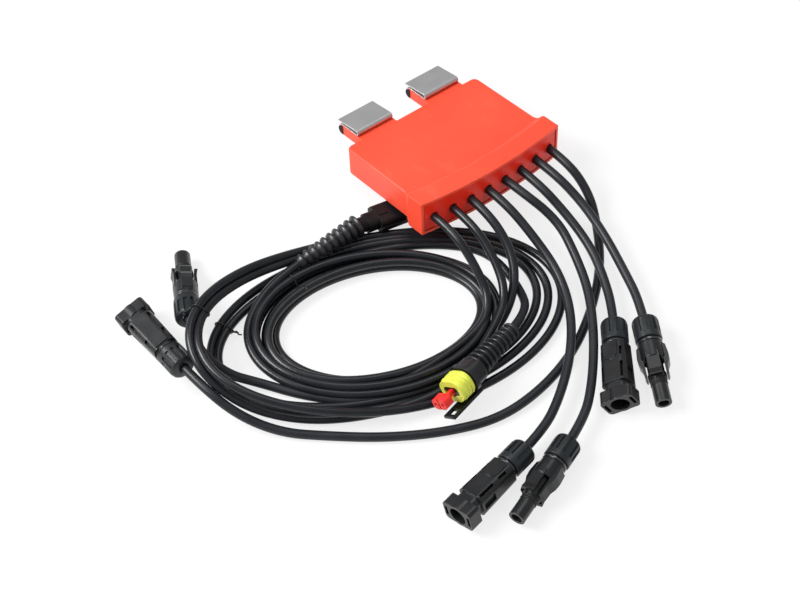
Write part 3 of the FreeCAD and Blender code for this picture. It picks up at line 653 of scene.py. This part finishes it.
def shadow_bead_loop(inset, proud):
    """Points round the plate, set in from the rim and lifted off the face by so many millimetres."""
    wide, low, high = FLANGE_HALF - RIM - inset, -3.0 + RIM + inset, 26.0 - RIM - inset
    flat = [(-wide + 2 * wide * k / ALONG, low) for k in range(ALONG + 1)]
    flat += [(wide, low + (high - low) * k / UPWARDS) for k in range(1, UPWARDS)]
    flat += [(wide - 2 * wide * k / ALONG, high) for k in range(ALONG + 1)]
    flat += [(-wide, high - (high - low) * k / UPWARDS) for k in range(1, UPWARDS)]
    reach = bow_radius - 0.6 + proud
    return [lean_point(x, bow_centre - math.sqrt(reach ** 2 - x ** 2), z) * MM for x, z in flat]


# Painted shade: four loops of points make the flat dark bead of the shadow line round the plate.
work = bmesh.new()
loops = [[work.verts.new(p) for p in shadow_bead_loop(inset, proud)]
         for inset, proud in ((0.02, -0.04), (0.02, 0.05), (0.6, 0.05), (0.6, -0.04))]
for a, b in zip(loops, loops[1:] + loops[:1]):
    for k in range(len(a)):
        work.faces.new((a[k], a[(k + 1) % len(a)], b[(k + 1) % len(a)], b[k]))
shadow_bead = ridden(closed(work, "plate_shadow_bead", gland_rubber))
print("seam of", len(shadow_bead.data.vertices), "points")

# %% [markdown]
# ## Cheeks of the clips
# The sheet of each frame clip is wrapped round the nose of its tab, and the end of that fold looks dark. It
# could be a rubber pad or the tab's own shadow. We draw it as a cheek at both ends: a half round slab of
# dark steel, which is painted shade of the fold, set in the case's own coordinates and leaning with it.

# %% Cheeks
TAB_OFFSET, TAB_HALF, NOSE_Y, NOSE_Z, FOLD_RADIUS = 33.5, 17.5, 67.9, 18.9, 3.7


def cheek(name, inner_x, outer_x):
    outline = [(NOSE_Y - 1.2, NOSE_Z - FOLD_RADIUS)]
    outline += [(NOSE_Y + FOLD_RADIUS * math.cos(t), NOSE_Z + FOLD_RADIUS * math.sin(t))
                for t in [math.pi * (k / 16 - 0.5) for k in range(17)]]
    outline.append((NOSE_Y - 1.2, NOSE_Z + FOLD_RADIUS))
    work = bmesh.new()
    rings = [[work.verts.new(lean_point(x, y, z) * MM) for y, z in outline] for x in (inner_x, outer_x)]
    for k in range(len(outline)):
        after = (k + 1) % len(outline)
        work.faces.new((rings[0][k], rings[0][after], rings[1][after], rings[1][k]))
    work.faces.new(rings[0])
    work.faces.new(rings[1][::-1])
    ridden(closed(work, name, shaded_fold_steel))


for side, centre in (("left", -TAB_OFFSET), ("right", TAB_OFFSET)):
    cheek("clip_cheek_" + side + "_a", centre - TAB_HALF - 0.02, centre - TAB_HALF - 0.6)
    cheek("clip_cheek_" + side + "_b", centre + TAB_HALF + 0.02, centre + TAB_HALF + 0.6)
print("four cheeks")

# %% [markdown]
# ## Wire ties
# The bundles are held by thin black wire. A tie looks for every strand of one cord that crosses its plane
# near its place, and lays its loop on their common outline: for each direction the outermost strand decides,
# and the wire lies just over a cord's radius beyond its middle. Then both ends twist about each other and
# run off as a tail. The finished wire is turned from a curve into a mesh, because as a curve it gave a box
# about two metres wide.

# %% Lines of the cords, read from their own splines
WIRE = 1.05


def line_of(piece):
    """Points along a cord in millimetres, as its spline draws them without a bevel."""
    bare = piece.data.copy()
    bare.bevel_depth = 0.0
    holder = bpy.data.objects.new("bare", bare)
    mesh = bpy.data.meshes.new_from_object(holder)
    spots = [v.co / MM for v in mesh.vertices]
    bpy.data.objects.remove(holder)
    bpy.data.curves.remove(bare)
    bpy.data.meshes.remove(mesh)
    return spots


INNER_LINE, OUTER_LINE = line_of(inner_cord), line_of(outer_cord)


def tie(name, spot, heading, rise, reach, tail, line):
    """Wire round all strands that cross the plane at a spot, its ends twisted along the tail's points."""
    a, b = math.radians(heading), math.radians(rise)
    ahead = Vector((math.cos(a) * math.cos(b), math.sin(a) * math.cos(b), math.sin(b)))
    side = Vector((-math.sin(a), math.cos(a), 0.0))
    above = ahead.cross(side)
    crossings = []
    for p, q in zip(line, line[1:]):
        before, after = (p - spot).dot(ahead), (q - spot).dot(ahead)
        if before * after > 0 or before == after:
            continue
        hit = p + (q - p) * (before / (before - after))
        if (hit - spot).length < reach and abs((q - p).normalized().dot(ahead)) > 0.5:
            crossings.append(hit)
    loop = []
    first = math.degrees(math.atan2((tail[0] - spot).dot(above), (tail[0] - spot).dot(side)))
    for k in range(41):
        angle = math.radians(first + 9 * k)
        out = side * math.cos(angle) + above * math.sin(angle)
        middle = max(crossings, key=lambda hit: hit.dot(out))
        loop.append(middle + out * (SIGNAL_CABLE / 2 + WIRE / 2 + 0.05) + ahead * (1.1 * (k / 40 - 0.5)))
    way = [loop[0]] + tail
    twist = []
    for p, q in zip(way, way[1:]):
        steps = max(2, round((q - p).length / 0.9))
        twist += [p + (q - p) * (k / steps) for k in range(steps)]
    strands = ([], [])
    for k, middle in enumerate(twist[1:]):
        run = (twist[min(k + 2, len(twist) - 1)] - twist[k]).normalized()
        one = run.orthogonal().normalized()
        two = run.cross(one)
        turn = math.radians(62 * k)
        swing = (one * math.cos(turn) + two * math.sin(turn)) * (WIRE * 0.52)
        strands[0].append(middle + swing)
        strands[1].append(middle - swing)
    points = strands[0][::-1] + loop + strands[1][:-3]
    wire = cord_curve(name + "_wire", points, WIRE, tie_wire)
    wire.data.bevel_resolution = 3
    wire.data.splines[0].resolution_u = 3
    ridden(bpy.data.objects.new(name, bpy.data.meshes.new_from_object(wire)))
    bpy.data.objects.remove(wire)
    print(name, "holds", len(crossings), "strands")


# %% Ties
tie_wire = black("tie_wire", colour(30, 31, 33), 0.22, 900, 0.00003)
tie("tie_over_connectors", up(-234.5, -1.7, 31.7), 31, -7, 9, [up(-243.5, 4, 31), up(-246.5, 2.5, 27)],
    OUTER_LINE)
tie("tie_left", up(-220.8, -7.4, 3.2), 25, 0, 8, [up(-216.5, -17, 5), up(-214.5, -21, 2.2)], OUTER_LINE)
tie("tie_by_boot", up(-160, -12, 9), 0, 0, 8, [up(-157, -20, 14), up(-158, -24, 11)], INNER_LINE)

# %% [markdown]
# ## Floor, light and sky
# The object lies on a pale flat floor in soft studio light. The key comes from high on the left and behind,
# as the bright left side and the dark cable face of the box say. A soft fill in front opens the shadows and
# is not mirrored in the black plastic. For the camera the sky is pure white, through Is Camera Ray, and the
# floor is three quarters of the way to white, so its shadows stay faint. Other light keeps its plain level.


# %% Stage
def pale_stage(name, tone, shade):
    finish = new_finish(name)
    seen = finish.rays("Is Camera Ray") + finish.rays("Is Glossy Ray") + finish.rays("Is Transmission Ray")
    matt = finish.node("ShaderNodeBsdfDiffuse", None, {"Color": (tone, tone, tone, 1)})
    glow = finish.node("ShaderNodeEmission", None, {"Color": (1, 1, 1, 1), "Strength": 1.0})
    both = finish.node("ShaderNodeMixShader", None, {0: seen * shade, 1: matt, 2: glow})
    return finish.close(both)


floor_mesh = bpy.data.meshes.new("floor")
HALF_FLOOR, GAP_BELOW = 3.0, 0.0001
corners = [(-1, -1), (1, -1), (1, 1), (-1, 1)]
floor_mesh.from_pydata([(HALF_FLOOR * x, HALF_FLOOR * y, FLOOR * MM - GAP_BELOW) for x, y in corners],
                       [], [(0, 1, 2, 3)])
floor = bpy.data.objects.new("floor", floor_mesh)
bpy.context.scene.collection.objects.link(floor)
floor_mesh.materials.append(pale_stage("pale_floor", 0.86, 0.76))

world = bpy.data.worlds.new("studio")
bpy.context.scene.world = world
sky = Finish(world)
seen = sky.node("ShaderNodeMath", {"operation": "MAXIMUM"},
                {0: sky.rays("Is Camera Ray"), 1: sky.rays("Is Transmission Ray")})
plain = sky.node("ShaderNodeBackground", None, {"Color": (1, 1, 1, 1), "Strength": 0.36})
white = sky.node("ShaderNodeBackground", None, {"Color": (1, 1, 1, 1), "Strength": 1.0})
sky.close(sky.node("ShaderNodeMixShader", None, {0: seen, 1: plain, 2: white}), "ShaderNodeOutputWorld")


MIDDLE = Vector((-0.1, -0.08, 0))


def soft_box(name, place, size, power, mirrored=True):
    """An area light in watts and metres that looks at the middle of the object."""
    lamp = bpy.data.lights.new(name, "AREA")
    lamp.shape = "RECTANGLE"
    lamp.size, lamp.size_y = size
    lamp.energy = power
    piece = bpy.data.objects.new(name, lamp)
    bpy.context.scene.collection.objects.link(piece)
    piece.location = place
    piece.visible_glossy = mirrored
    piece.rotation_mode = "QUATERNION"
    piece.rotation_quaternion = (MIDDLE - Vector(place)).to_track_quat("-Z", "Y")


soft_box("key_light", (-1.3, 0.9, 1.5), (1.2, 0.9), 58)
soft_box("top_light", (0.3, 0.5, 1.9), (1.0, 1.0), 7)
soft_box("front_fill", (0.3, -1.7, 0.8), (1.2, 0.8), 10, False)
bpy.context.scene.view_settings.view_transform = "Standard"
